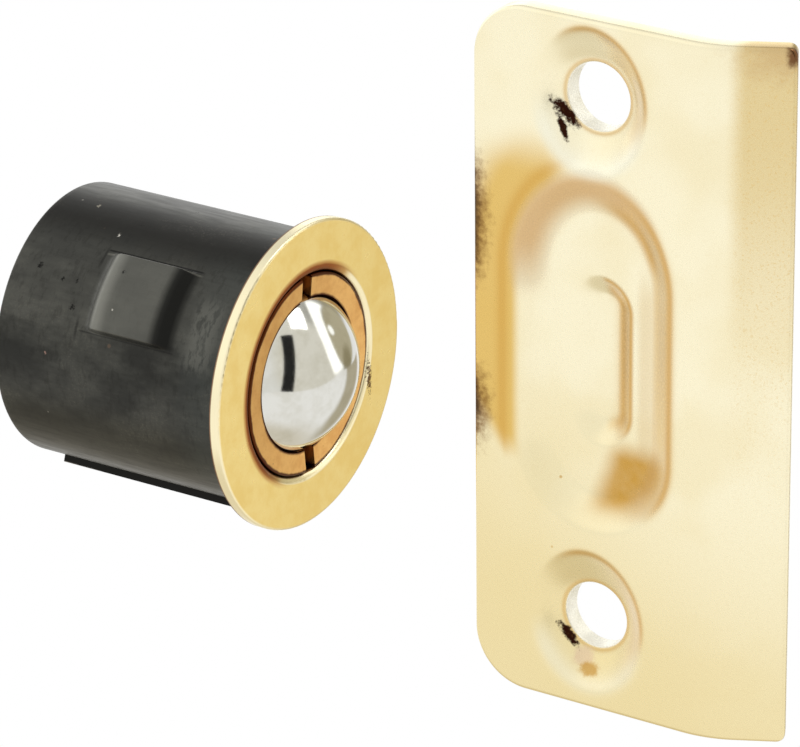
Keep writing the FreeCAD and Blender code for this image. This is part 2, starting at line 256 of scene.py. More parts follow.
def blackSteel(v, b):
    material, tree, shader, p = newMaterial("blackenedSteel")
    x, y, z = splitXyz(tree, p)
    # Arc length round the barrel, up from the side that faces the strike
    arc = tree.sum("MULTIPLY", tree.sum("ARCTAN2", z, tree.sum("MULTIPLY", y, -1.0)), b["radius"])
    cloud = tree.noise(tree.stretched(p, (0.6, 1, 1)), 0.3, 5.0, 0.6)
    streak = tree.noise(tree.stretched(p, (0.14, 1, 1)), 2.2, 4.0, 0.6)
    fine = tree.noise(p, 5.0, 4.0, 0.7)
    colour = tree.mix(tree.step(cloud, 0.32, 0.7), v["dark"], v["light"])
    colour = tree.lay(colour, v["warm"], tree.step(z, 0.0, -8.0), 0.9)
    colour = tree.lay(colour, v["blue"], tree.step(x, -6.0, -1.5), 0.6)
    # Painted light: lighter in a band on the strike's side, painted shade as a dark reflection in a band
    # under the top, and the upper edge lit by the studio itself
    wavy = tree.sum("ADD", arc, tree.sum("MULTIPLY", tree.sum("SUBTRACT", cloud, 0.5), 5.0))
    paintedLightBand = tree.within(wavy, 3.0, 6.0, 10.0, 13.0)
    colour = tree.lay(colour, v["shine"], paintedLightBand, 0.2)
    paintedDarkBand = tree.sum("MULTIPLY", tree.step(wavy, 11.5, 14.5), tree.step(arc, 19.0, 16.5))
    colour = tree.lay(colour, v["sootAndShade"], paintedDarkBand, 0.85)
    colour = tree.lay(colour, v["sootAndShade"], tree.step(streak, 0.45, 0.7), 0.14)
    patchy = tree.sum("MULTIPLY", tree.step(cloud, 0.5, 0.62), tree.step(fine, 0.5, 0.66))
    colour = tree.lay(colour, tone(112, 108, 96), patchy, 0.18)
    # Lighter in patches between the pad and the flange
    lighterPatches = tree.sum(
        "MULTIPLY", tree.within(x, -4.9, -3.4, -2.4, -0.8), tree.within(arc, 2.5, 4.5, 8.0, 10.5))
    worn = tree.noise(tree.stretched(p, (1.3, 0.7, 0.5)), 1.6, 4.0, 0.65)
    colour = tree.lay(colour, v["sootAndShade"], tree.step(worn, 0.5, 0.66), 0.25)
    lighterPatches = tree.sum("MULTIPLY", lighterPatches, tree.step(worn, 0.36, 0.56))
    colour = tree.lay(colour, v["shine"], lighterPatches, 0.6)
    # Painted light on the pads: lighter on the face, a painted highlight at the rear bend, and painted
    # shade, near black, on the front slope
    colour = tree.lay(colour, v["shine"], painted(tree, "pad"), 0.52)
    colour = tree.lay(colour, tone(158, 158, 150), painted(tree, "padLit"), 0.42)
    colour = tree.lay(colour, tone(14, 14, 11), painted(tree, "padShade"), 0.97)
    pits = tree.specks(tree.stretched(p, (1, 1, 1), (0, 0.3, 0.9)), 0.34, 0.08, 0.4)
    ragged = tree.sum("MULTIPLY", pits, tree.step(fine, 0.4, 0.55))
    colour = tree.lay(colour, tone(16, 14, 13), ragged, 0.8)
    dust = tree.specks(tree.stretched(p, (1, 1, 1), (3.1, 0.4, 1.7)), 0.4, 0.06, 0.3)
    colour = tree.lay(colour, tone(170, 166, 156), dust, 0.5)
    rust = tree.specks(tree.stretched(p, (1, 1, 1), (7.3, 2.2, 5.1)), 0.22, 0.05, 0.3)
    colour = tree.lay(colour, tone(104, 84, 68), rust, 0.5)
    for along, about, size, shade in v["specks"]:
        aside = tree.sum("SUBTRACT", x, along)
        off = tree.sum("MULTIPLY", tree.sum("SUBTRACT", arc, about), 0.8)
        uneven = tree.sum("MULTIPLY_ADD", fine, size * 5, size * -2.5)
        far = tree.sum("ADD", tree.reach(aside, off), uneven)
        colour = tree.mix(tree.step(far, size * 1.5, size * 0.4), colour, shade)
    # Marks that the press left beside the pads, a painted highlight along each pad's upper edge, and
    # painted shade, near black, over the rib and the dark seam beside it
    marks = None
    along = tree.within(
        x, b["padRear"] - 0.5, b["padRear"] - 0.2, b["padFront"] - 0.4, b["padFront"] + 0.1)
    for centre in b["pads"]:
        low = math.radians(centre - b["padArc"] / 2) * b["radius"]
        high = math.radians(centre + b["padArc"] / 2) * b["radius"]
        for place, width, strength in ((high + 0.02, 0.13, 0.8), (low - 0.02, 0.1, 0.5)):
            off = tree.sum("ABSOLUTE", tree.sum("SUBTRACT", arc, place))
            line = tree.sum("MULTIPLY", tree.step(off, width, width * 0.4), strength)
            line = tree.sum("MULTIPLY", line, along)
            marks = line if marks is None else tree.sum("MAXIMUM", marks, line)
        ends = ((b["padRear"] - 0.45, high - 1.6, high + 0.3), (b["padRear"] - 0.65, low - 0.7, low + 0.9))
        for place, start, end in ends:
            off = tree.sum("ABSOLUTE", tree.sum("SUBTRACT", x, place))
            line = tree.sum("MULTIPLY", tree.step(off, 0.2, 0.03), 0.5)
            length = tree.within(arc, start - 0.5, start + 0.5, end - 0.5, end + 0.5)
            marks = tree.sum("MAXIMUM", marks, tree.sum("MULTIPLY", line, length))
        # Painted highlight along the pad's upper edge
        padEdgeHighlight = tree.step(tree.sum("ABSOLUTE", tree.sum("SUBTRACT", arc, high - 0.34)), 0.16, 0.04)
        padEdgeHighlight = tree.sum("MULTIPLY", tree.sum("MULTIPLY", padEdgeHighlight, along), 0.3)
        colour = tree.mix(padEdgeHighlight, colour, tone(138, 136, 126))
    colour = tree.mix(marks, colour, v["scratch"])
    # Painted shade, near black, over the rib and the seam beside it
    rib = painted(tree, "rib")
    colour = tree.lay(colour, tone(13, 12, 10), rib, 0.95)
    # Painted highlight on the rib's corner towards its back end
    corner = b["radius"] + b["ribHeight"]
    edge = tree.step(tree.reach(y, z), corner - 0.1, corner - 0.03)
    bright = tree.sum("MULTIPLY", edge, tree.step(streak, 0.4, 0.6))
    bright = tree.sum("MULTIPLY", bright, tree.step(x, -16.0, -19.0))
    colour = tree.lay(colour, tone(150, 142, 126), bright, 0.4)
    tree.put(shader.inputs["Base Color"], colour)
    shader.inputs["Metallic"].default_value = v["metallic"]
    tree.put(shader.inputs["Roughness"], tree.sum("MULTIPLY_ADD", streak, 0.3, v["roughness"] - 0.13))
    height = tree.sum("SUBTRACT", tree.sum("MULTIPLY", streak, 0.3), ragged)
    height = tree.sum("SUBTRACT", height, marks)
    bump(tree, shader, height, 0.4, 0.03)
    return material


# Turned brass of the flange and its bush
brass = {
    "face": tone(254, 228, 150),
    "deep": tone(245, 211, 122),
    "stainAndShade": tone(150, 84, 34),
    "pit": tone(84, 48, 22),
    "bright": tone(255, 246, 212),
    "roughness": 0.3,
    "pitted": (0.9, 8.6, -3.5),         # middle of the cluster of pits beside the ball
    "pittedHalf": (1.2, 0.34, 1.5),
}


def turnedBrass(v, flangeRadius, boreRadius, face):
    material, tree, shader, p = newMaterial("turnedBrass")
    x, y, z = splitXyz(tree, p)
    radius = tree.reach(y, z)
    cloud = tree.noise(p, 0.45, 4.0, 0.6)
    fine = tree.noise(p, 5.0, 4.0, 0.75)
    colour = tree.lay(v["face"], v["deep"], tree.step(cloud, 0.36, 0.68), 0.55)
    colour = tree.lay(colour, v["deep"], tree.step(fine, 0.5, 0.72), 0.4)
    # Painted shade on the turned mouth, orange-brown and then dark, on the side turned from the light, and
    # a painted highlight where it faces the light
    lip = tree.sum("ADD", radius, tree.sum("MULTIPLY", cloud, 0.2))
    shaded = tree.step(tree.sum("SUBTRACT", tree.sum("MULTIPLY", z, 0.7), y), -3.5, 3.5)
    around = tree.sum("MULTIPLY", tree.step(lip, boreRadius + 1.15, boreRadius + 0.8), shaded)
    colour = tree.lay(colour, tone(186, 122, 56), around, 0.8)
    inner = tree.sum("MULTIPLY", tree.step(lip, boreRadius + 0.85, boreRadius + 0.65), shaded)
    colour = tree.mix(inner, colour, v["stainAndShade"])
    mouth = tree.step(radius, boreRadius + 0.62, boreRadius + 0.45)
    lit = tree.sum("MULTIPLY", mouth, tree.step(shaded, 0.5, 0.1))
    colour = tree.lay(colour, tone(255, 244, 206), lit, 0.9)
    # Painted shade deep inside the bore
    deepIn = tree.step(x, face - 0.3, face - 0.6)
    inside = tree.sum("MULTIPLY", deepIn, tree.step(radius, boreRadius + 0.35, boreRadius + 0.15))
    colour = tree.mix(inside, colour, tone(92, 44, 16))
    # Painted highlight on the flange's rounded outer edge
    rim = tree.step(radius, flangeRadius - 0.3, flangeRadius - 0.05)
    colour = tree.lay(colour, v["bright"], rim, 0.9)
    # Painted shade, brown, where the flange's back meets its edge
    seam = tree.sum(
        "MULTIPLY", tree.step(radius, flangeRadius - 0.8, flangeRadius - 0.4), tree.step(x, 0.16, 0.06))
    colour = tree.lay(colour, tone(104, 50, 20), seam, 0.85)
    pits = tree.specks(p, 0.5, 0.08, 0.4)
    small = tree.specks(p, 1.5, 0.09, 0.25)
    marks = tree.sum("MAXIMUM", pits, tree.sum("MULTIPLY", small, 0.6))
    marks = tree.sum("MULTIPLY", marks, tree.sum("SUBTRACT", 1.0, rim))
    colour = tree.lay(colour, v["pit"], marks, 0.85)
    ragged = tree.sum("MULTIPLY_ADD", tree.noise(p, 3.4, 3.0, 0.7), 4.4, -1.9)
    cluster = tree.spot(p, v["pitted"], v["pittedHalf"], 0.3, ragged)
    colour = tree.lay(colour, v["pit"], cluster, 0.9)
    tree.put(shader.inputs["Base Color"], colour)
    shader.inputs["Metallic"].default_value = 1.0
    tree.put(shader.inputs["Roughness"], tree.sum("MULTIPLY_ADD", cloud, 0.16, v["roughness"] - 0.08))
    height = tree.sum("SUBTRACT", tree.sum("MULTIPLY", fine, 0.5), marks)
    bump(tree, shader, height, 0.35, 0.02)
    return material


# Copper-toned sleeve
copper = {
    "face": tone(240, 190, 116),
    "deep": tone(214, 154, 84),
    "stainAndShade": tone(86, 44, 20),
    "roughness": 0.33,
}


def sleeveCopper(v, sleeveRadius, mouthRadius, face):
    material, tree, shader, p = newMaterial("sleeveCopper")
    x, y, z = splitXyz(tree, p)
    radius = tree.reach(y, z)
    cloud = tree.noise(p, 0.6, 4.0, 0.65)
    fine = tree.noise(p, 6.0, 4.0, 0.75)
    colour = tree.lay(v["face"], v["deep"], tree.step(cloud, 0.36, 0.7), 0.6)
    colour = tree.lay(colour, v["deep"], tree.step(fine, 0.5, 0.72), 0.4)
    # Painted shade, dark, in the gap round the sleeve's face and round its mouth by the ball
    outer = tree.sum("ADD", radius, tree.sum("MULTIPLY", cloud, 0.3))
    colour = tree.mix(tree.step(outer, sleeveRadius - 0.2, sleeveRadius - 0.02), colour, v["stainAndShade"])
    inner = tree.sum("SUBTRACT", radius, tree.sum("MULTIPLY", cloud, 0.25))
    colour = tree.mix(tree.step(inner, mouthRadius + 0.1, mouthRadius - 0.12), colour, v["stainAndShade"])
    # Painted shade deep inside the sleeve
    depth = tree.step(x, face - 0.3, face - 0.85)
    colour = tree.lay(colour, v["stainAndShade"], depth, 0.8)
    marks = tree.specks(p, 1.3, 0.12, 0.3)
    colour = tree.lay(colour, v["stainAndShade"], marks, 0.7)
    tree.put(shader.inputs["Base Color"], colour)
    shader.inputs["Metallic"].default_value = 1.0
    tree.put(shader.inputs["Roughness"], tree.sum("MULTIPLY_ADD", fine, 0.2, v["roughness"] - 0.1))
    bump(tree, shader, tree.sum("SUBTRACT", fine, marks), 0.3, 0.02)
    return material


# Polished steel of the ball
polished = {"colour": tone(226, 226, 221), "dull": tone(216, 215, 207), "roughness": 0.05}


def ballSteel(v):
    material, tree, shader, p = newMaterial("polishedSteel")
    cloud = tree.noise(p, 0.5, 3.0, 0.6)
    colour = tree.mix(tree.step(cloud, 0.4, 0.7), v["colour"], v["dull"])
    tree.put(shader.inputs["Base Color"], colour)
    shader.inputs["Metallic"].default_value = 1.0
    scratch = tree.noise(tree.stretched(p, (0.6, 3.0, 1.2)), 5.0, 4.0, 0.7)
    tree.put(shader.inputs["Roughness"], tree.sum("MULTIPLY_ADD", scratch, 0.12, v["roughness"] - 0.03))
    bump(tree, shader, scratch, 0.12, 0.01)
    return material


# Pressed or drawn steel that mostly lies inside; brush stretches its grain
def plainSteel(name, light, dark, roughness, brush):
    material, tree, shader, p = newMaterial(name)
    grain = tree.noise(tree.stretched(p, brush), 4.0, 4.0, 0.6)
    cloud = tree.noise(p, 0.6, 3.0, 0.6)
    colour = tree.mix(tree.step(cloud, 0.35, 0.7), light, dark)
    colour = tree.lay(colour, dark, tree.step(grain, 0.5, 0.7), 0.3)
    tree.put(shader.inputs["Base Color"], colour)
    shader.inputs["Metallic"].default_value = 1.0
    tree.put(shader.inputs["Roughness"], tree.sum("MULTIPLY_ADD", grain, 0.2, roughness - 0.1))
    bump(tree, shader, grain, 0.2, 0.01)
    return material


def setMaterial(obj, material):
    if not obj.data.materials:
        obj.data.materials.append(material)
    for slot in obj.material_slots:
        slot.material = material


catch = {
    "flangeFace": 0.9,
    "flangeRadius": 13.0,
    "threadRadius": 8.6,
    "sleeveRadius": 8.52,
    "sleeveFace": 0.78,
    "mouthRadius": 6.6,
    "ballRadius": 7.5,
    "ballCentre": -3.24695,
}
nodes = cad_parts
setMaterial(
    nodes["face_bushing"],
    turnedBrass(brass, catch["flangeRadius"], catch["threadRadius"], catch["flangeFace"]),
)
setMaterial(
    nodes["adjuster_sleeve"],
    sleeveCopper(copper, catch["sleeveRadius"], catch["mouthRadius"], catch["sleeveFace"]),
)
cupSteel = plainSteel("cupSteel", tone(178, 176, 170), tone(120, 117, 110), 0.35, (1, 1, 1))
setMaterial(nodes["spring_cup"], cupSteel)
plugSteel = plainSteel("plugSteel", tone(150, 148, 142), tone(124, 120, 112), 0.4, (1, 0.3, 3))
setMaterial(nodes["rear_plug"], plugSteel)
print("flange, sleeve, cup and plug coloured")


# Barrel: rolled sheet with two raised pads, and the sheet's turned-out edge as a rib by the seam
barrel = {
    "radius": 11.4,
    "bore": 10.6,
    "length": 22.5,
    "endRound": 0.3,
    "pads": (40.0, -168.0),     # degrees up from the side of the strike
    "padArc": 36.0,
    "padRear": -14.1,
    "padFront": -5.0,
    "padRise": 0.75,
    "rearRun": 1.5,
    "frontRun": 2.2,
    "sideRun": 0.5,
    "seam": -64.0,
    "slit": 0.16,
    "slitDepth": 0.45,
    "ribWidth": 1.1,
    "ribHeight": 0.62,
    "ribBack": -20.5,
}


# How far the sheet is pressed out at a place along the barrel and an angle round it
def padRise(v, x, turn):
    for centre in v["pads"]:
        off = abs((turn - centre + 180) % 360 - 180)
        side = math.radians(v["padArc"] / 2 - off) * v["radius"]
        if side <= 0 or not v["padRear"] < x < v["padFront"]:
            continue
        rear = rise((x - v["padRear"]) / v["rearRun"])
        front = rise((v["padFront"] - x) / v["frontRun"])
        return v["padRise"] * min(rear, front) * rise(side / v["sideRun"])
    return 0.0


# How much of the light painted on a pad a point takes: over the pad, at its rear bend and on its front
# slope
def padPaintedLight(v, x, turn):
    pressed = padRise(v, x, turn) / v["padRise"]
    fromRear = x - v["padRear"]
    toFront = v["padFront"] - x
    across = 0.0
    for centre in v["pads"]:
        off = abs((turn - centre + 180) % 360 - 180)
        across = max(across, rise((math.radians(v["padArc"] / 2 - off) * v["radius"] + 0.15) / 0.5))
    lit = across * rise((fromRear - 0.5) / 0.7) * rise((2.6 - fromRear) / 1.2)
    dark = across * rise((v["frontRun"] + 0.5 - toFront) / 1.1) * rise((toFront + 0.1) / 0.8)
    return {"pad": pressed, "padLit": lit, "padShade": dark}


# Places from start to end, closer together near the marks
def spread(start, end, step, marks=(), near=0.0, fine=0.0):
    places = [start]
    while places[-1] < end:
        here = places[-1]
        close = any(abs(here + step / 2 - mark) < near for mark in marks)
        places.append(here + (fine if close else step))
    places[-1] = end
    return places


def makeBarrel(v):
    perDegree = math.radians(1) * v["radius"]
    ribFrom = v["seam"] - (v["slit"] / 2 + v["ribWidth"]) / perDegree
    ribTo = v["seam"] - v["slit"] / 2 / perDegree
    sides = [centre + way * v["padArc"] / 2 for centre in v["pads"] for way in (-1, 1)]
    marks = [mark if mark > -180 else mark + 360 for mark in sides]
    turns = spread(-180, 180, 1.2, marks, 3.2, 0.3)[:-1]
    for edge in (ribFrom, ribTo, v["seam"] + v["slit"] / 2 / perDegree):
        turns.extend((edge - 0.06, edge, edge + 0.3, edge - 0.3))
    turns = sorted(set(round(t, 4) for t in turns))
    alongs = spread(-v["length"] + v["endRound"], 0, 0.35)
    alongs = sorted(set(alongs + [v["ribBack"], v["ribBack"] - 0.05, v["ribBack"] + 0.12]))
    rows = []
    for k in range(6, 0, -1):
        lean = math.radians(15 * k)
        along = -v["length"] + v["endRound"] * (1 - math.sin(lean))
        rows.append((along, -v["endRound"] * (1 - math.cos(lean))))
    rows.extend((x, 0.0) for x in alongs)
    points, faces = [], []
    layers = {"rib": [], "pad": [], "padLit": [], "padShade": []}
    for x, inset in rows:
        for turn in turns:
            radius = v["radius"] + inset + padRise(v, x, turn)
            onRib = ribFrom <= turn <= ribTo and x >= v["ribBack"]
            if onRib:
                radius = v["radius"] + v["ribHeight"]
            if abs(turn - v["seam"]) * perDegree < v["slit"] / 2:
                radius -= v["slitDepth"]
            byRib = ribFrom - 0.5 <= turn <= ribTo + 1.2 and x >= v["ribBack"] - 0.1
            layers["rib"].append(1.0 if byRib else 0.0)
            for name, value in padPaintedLight(v, x, turn).items():
                layers[name].append(value)
            angle = math.radians(turn)
            points.append((x, -radius * math.cos(angle), radius * math.sin(angle)))
    outer = len(rows)
    inner = [-v["length"]] + alongs[1:]
    for x in inner:
        for turn in turns:
            radius = v["bore"] + padRise(v, x, turn)
            angle = math.radians(turn)
            points.append((x, -radius * math.cos(angle), radius * math.sin(angle)))
            for values in layers.values():
                values.append(0.0)
    wide = len(turns)

    def join(first, second):
        for i in range(wide):
            j = (i + 1) % wide
            faces.append((first * wide + i, second * wide + i, second * wide + j, first * wide + j))

    for row in range(outer - 1):
        join(row, row + 1)
    for row in range(outer, outer + len(inner) - 1):
        join(row + 1, row)
    join(outer, 0)
    join(outer - 1, outer + len(inner) - 1)
    shell = makeObject("barrelShell", points, faces)
    paint(shell, layers)
    shell.data.set_sharp_from_angle(angle=math.radians(50))
    return shell


# From 0 to 1 with soft ends
def rise(value):
    value = min(1.0, max(0.0, value))
    return value * value * (3 - 2 * value)


# A fine sphere with its poles up and down, as the ball rolls about the upright axis
def makeBall(v, sides=160, rings=96):
    points = []
    faces = []
    centre = Vector((v["ballCentre"], 0, 0))
    points.append(centre + Vector((0, 0, v["ballRadius"])))
    for ring in range(1, rings):
        fall = math.pi * ring / rings
        for side in range(sides):
            turn = 2 * math.pi * side / sides
            level = math.sin(fall)
            out = Vector((level * math.cos(turn), level * math.sin(turn), math.cos(fall)))
            points.append(centre + out * v["ballRadius"])
    points.append(centre - Vector((0, 0, v["ballRadius"])))
    last = len(points) - 1
    for side in range(sides):
        other = (side + 1) % sides
        faces.append((0, 1 + side, 1 + other))
        for ring in range(rings - 2):
            start = 1 + ring * sides
            faces.append((start + side, start + sides + side, start + sides + other, start + other))
        start = 1 + (rings - 2) * sides
        faces.append((last, start + other, start + side))
    return makeObject("steelBall", points, faces)


def makeObject(name, points, faces):
    mesh = bpy.data.meshes.new(name)
    mesh.from_pydata([tuple(c * mm for c in p) for p in points], [], faces)
    mesh.validate()
    mesh.update()
    mesh.polygons.foreach_set("use_smooth", [True] * len(mesh.polygons))
    obj = bpy.data.objects.new(name, mesh)
    bpy.context.scene.collection.objects.link(obj)
    return obj


def paint(obj, layers):
    for name, values in layers.items():
        obj.data.attributes.new(name, "FLOAT", "POINT").data.foreach_set("value", values)


barrelShell = makeBarrel(barrel)
setMaterial(barrelShell, blackSteel(black, barrel))
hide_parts("barrel_shell")
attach(barrelShell, "catch_body")
print("barrel made:", len(barrelShell.data.polygons), "faces")

ball = makeBall(catch)
setMaterial(ball, ballSteel(polished))
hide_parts("steel_ball")
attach(ball, "ball")
print("ball made:", len(ball.data.polygons), "faces")


# Spring from the plug to the cup: a wire coil, ground flat at the plug
spring = {
    "back": -17.4,
    "firstCoil": -17.175,
    "lastCoil": -9.968,
    "radius": 5.3,
    "wire": 0.45,
    "turns": 3.5,
    "pressed": 3.1,     # how far the ball can go in
}


def makeSpring(v, steps=72, sides=20):
    points, faces = [], []
    count = round(v["turns"] * steps)
    for i in range(count + 1):
        turn = 2 * math.pi * i / steps
        along = v["firstCoil"] + (v["lastCoil"] - v["firstCoil"]) * i / count
        for k in range(sides):
            lean = 2 * math.pi * k / sides
            out = v["radius"] + v["wire"] * math.cos(lean)
            x = max(v["back"], along + v["wire"] * math.sin(lean))
            points.append((x, out * math.sin(turn), -out * math.cos(turn)))
    for i in range(count):
        for k in range(sides):
            j = (k + 1) % sides
            here, there = i * sides, (i + 1) * sides
            faces.append((here + k, here + j, there + j, there + k))
    faces.append(tuple(range(sides))[::-1])
    faces.append(tuple(count * sides + k for k in range(sides)))
    coil = makeObject("springCoil", points, faces)
    coil.data.set_sharp_from_angle(angle=math.radians(50))
    return coil


springCoil = makeSpring(spring)
springSteel = plainSteel("springSteel", tone(150, 148, 144), tone(84, 82, 78), 0.3, (1, 1, 1))
setMaterial(springCoil, springSteel)
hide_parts("compression_spring")
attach(springCoil, "adjuster_carriage")
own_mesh(springCoil)
# The strike was photographed apart, so its walls don't mirror the ball and what lies behind it
for hidden in (ball, springCoil, nodes["spring_cup"], nodes["rear_plug"]):
    hidden.visible_glossy = False
print("spring made:", len(springCoil.data.polygons), "faces")


# Strike plate: a pressed sheet, laid out flat as across and height, then bent
strike = {
    "left": 22.2,           # where the sheet's left edge, show face and bottom lie
    "face": -8.6,
    "bottom": -18.0,
    "height": 57.15,
    "thickness": 1.4,
    "flat": 19.0,
    "bendRadius": 9.0,
    "bendAngle": 27.0,
    "lipRun": 4.0,
    "corner": 4.6,
    "lipCorner": 0.7,
    "edgeRound": 0.35,
    "centreAcross": 10.6,
    "rise": 0.45,           # the pressed forms sit this far above the sheet's middle
    "screwSpacing": 43.2,
    "holeAcross": 10.35,
    "hole": 2.72,
    "holeRound": 0.2,
    "dimpleWide": 5.3,
    "dimpleHigh": 6.3,
    "dimpleFloor": 2.85,
    "dimpleDepth": 1.4,
    "dish": 7.35,           # the dish and the pocket are half widths about an upright line
    "dishFloor": 4.15,
    "dishLine": 6.8,
    "dishDepth": 1.5,
    "dishTop": 1.6,
    "pocket": 3.1,
    "pocketFloor": 0.8,
    "pocketLine": 4.2,
    "pocketDepth": 1.1,
    "drawIn": 0.1,          # the sheet sinks a little round the dish
    "drawReach": 1.5,
    "grid": 0.34,
    "fineGrid": 0.17,
    "holeSides": 96,
}
strike["middle"] = strike["height"] / 2 + strike["rise"]
bendRun = strike["bendRadius"] * math.radians(strike["bendAngle"])
strike["width"] = strike["flat"] + bendRun + strike["lipRun"]


# Distance from the upright line through the pocket's middle
def pocketFar(across, height):
    over = max(0.0, abs(height - strike["middle"]) - strike["pocketLine"])
    return math.hypot(across - strike["centreAcross"], over)


# The same for the dish, which is drawn out a little at its top
def dishFar(across, height):
    v = strike
    over = max(0.0, abs(height - v["middle"]) - v["dishLine"])
    if height > v["middle"]:
        over *= v["dish"] / (v["dish"] + v["dishTop"])
    return math.hypot(across - v["centreAcross"], over)


# Distance from the nearer screw hole's middle, plain and by the dimple's own oval measure
def holeFar(across, height):
    v = strike
    side = 1 if height > v["middle"] else -1
    over = height - v["middle"] - side * v["screwSpacing"] / 2
    plain = math.hypot(across - v["holeAcross"], over)
    squeeze = rise((plain - v["dimpleFloor"]) / (v["dimpleWide"] - v["dimpleFloor"]))
    narrow = 1 + (v["dimpleWide"] / v["dimpleHigh"] - 1) * squeeze
    return plain, math.hypot(across - v["holeAcross"], over * narrow)


# Points round the sheet's outline, an inset inside it, counter-clockwise
def outlineInset(inset, step):
    v = strike
    points = []
    corners = (
        (v["corner"], v["corner"], v["corner"], 180, 270),
        (v["width"] - v["lipCorner"], v["lipCorner"], v["lipCorner"], 270, 360),
        (v["width"] - v["lipCorner"], v["height"] - v["lipCorner"], v["lipCorner"], 0, 90),
        (v["corner"], v["height"] - v["corner"], v["corner"], 90, 180),
    )
    for across, height, radius, start, end in corners:
        count = max(5, int(math.radians(90) * radius / step))
        for i in range(count + 1):
            turn = math.radians(start + (end - start) * i / count)
            reach = radius - inset
            points.append((across + reach * math.cos(turn), height + reach * math.sin(turn)))
    filled = []
    for i, point in enumerate(points):
        following = points[(i + 1) % len(points)]
        gap = math.dist(point, following)
        count = max(1, round(gap / step)) if gap > step * 1.6 else 1
        for k in range(count):
            filled.append(tuple(a + (b - a) * k / count for a, b in zip(point, following)))
    return filled


# Distance inside the outline, negative outside
def insideDepth(across, height):
    v = strike
    side = min(across, v["width"] - across)
    end = min(height, v["height"] - height)
    radius = v["corner"] if across < v["width"] / 2 else v["lipCorner"]
    if side < radius and end < radius:
        return radius - math.hypot(radius - side, radius - end)
    return min(side, end)


# How far a rounded edge has fallen away at a distance from its end
def roundOff(radius, distance):
    if distance >= radius:
        return 0.0
    left = radius - max(0.0, distance)
    return radius - math.sqrt(max(0.0, radius ** 2 - left ** 2))


# How far the show surface lies behind the plain bent sheet
def showDepth(across, height):
    v = strike
    edge = insideDepth(across, height)
    depth = roundOff(v["edgeRound"], edge)
    dishAt = dishFar(across, height)
    depth += v["dishDepth"] * rise((v["dish"] - dishAt) / (v["dish"] - v["dishFloor"]))
    pocketAt = pocketFar(across, height)
    deeper = 0.25 + 0.75 * rise((across - v["centreAcross"] + v["pocket"]) / 4.0)
    depth += deeper * v["pocketDepth"] * rise((v["pocket"] - pocketAt) / (v["pocket"] - v["pocketFloor"]))
    fade = rise(min(edge, 3.0) / 3.0)
    beyond = max(0.0, dishAt - v["dish"]) / v["drawReach"]
    depth += v["drawIn"] * math.exp(-beyond * beyond) * fade * rise((dishAt - v["dishFloor"]) / 2)
    plain, oval = holeFar(across, height)
    depth += v["dimpleDepth"] * rise((v["dimpleWide"] - oval) / (v["dimpleWide"] - v["dimpleFloor"]))
    return depth + roundOff(v["holeRound"], plain - v["hole"])


# From the flat layout to the bent sheet in its place; depth goes into the sheet
def bentPlace(across, height, depth):
    v = strike
    bend = math.radians(v["bendAngle"])
    if across <= v["flat"]:
        x, y, inX, inY = across, 0.0, 0.0, 1.0
    else:
        turn = min((across - v["flat"]) / v["bendRadius"], bend)
        run = max(0.0, across - v["flat"] - v["bendRadius"] * bend)
        x = v["flat"] + v["bendRadius"] * math.sin(turn) + run * math.cos(turn)
        y = v["bendRadius"] * (1 - math.cos(turn)) + run * math.sin(turn)
        inX, inY = -math.sin(turn), math.cos(turn)
    return (v["left"] + x + inX * depth, v["face"] + y + inY * depth, v["bottom"] + height)


def ringPoints(centre, radius, count):
    return [
        (strike["holeAcross"] + radius * math.cos(2 * math.pi * i / count),
         centre + radius * math.sin(2 * math.pi * i / count))
        for i in range(count)
    ]


